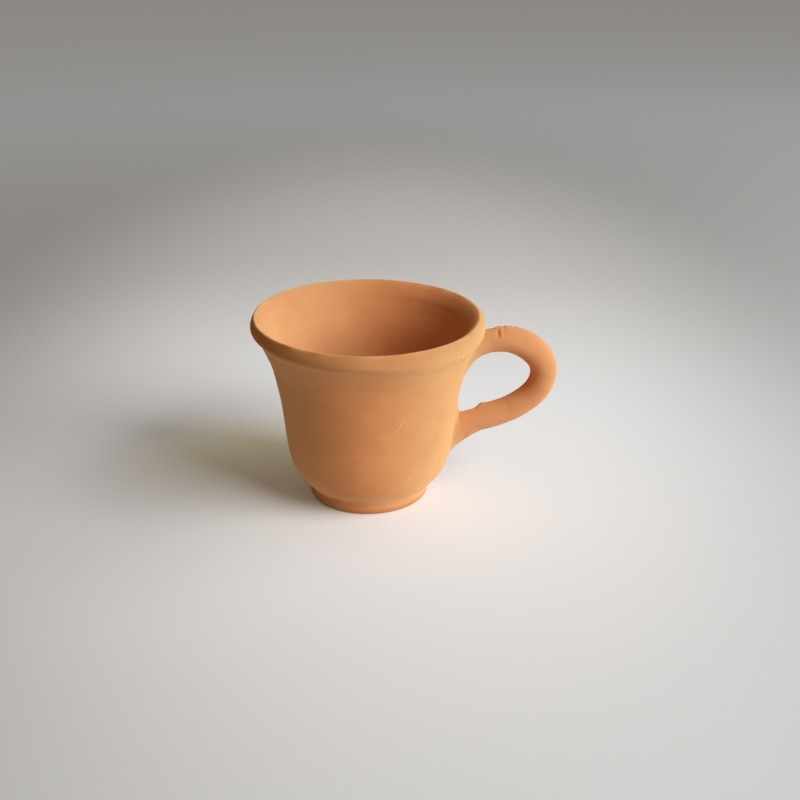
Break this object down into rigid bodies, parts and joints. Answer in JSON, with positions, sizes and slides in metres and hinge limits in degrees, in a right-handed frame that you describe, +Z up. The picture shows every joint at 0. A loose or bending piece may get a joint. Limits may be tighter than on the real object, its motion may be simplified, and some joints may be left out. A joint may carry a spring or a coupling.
{
  "type": "espresso cup",
  "caption": "Small unglazed terracotta cup: bell-shaped thrown body with a rolled lip and a low turned foot, and a loop handle rolled from a coil and luted to the wall. Holds hot coffee.",
  "frame": {"origin": "centre of the foot's underside, the face the cup stands on", "axes": "+Z up along the axis the body was turned on, +X towards the handle, +Y to the left of the handle seen from above"},
  "size_m": [0.0913, 0.07, 0.0574],
  "materials": {
    "body_clay": "unglazed terracotta, wiped smooth on the wheel, matte",
    "handle_clay": "unglazed terracotta, rolled by hand, matte and slightly redder than the body",
    "joint_clay": "unglazed terracotta slip, smeared by finger, matte"
  },
  "bodies": {
    "root": {"cup_body": "body_clay", "handle": "handle_clay", "upper_joint_clay": "joint_clay", "lower_joint_clay": "joint_clay"}
  },
  "joints": []
}
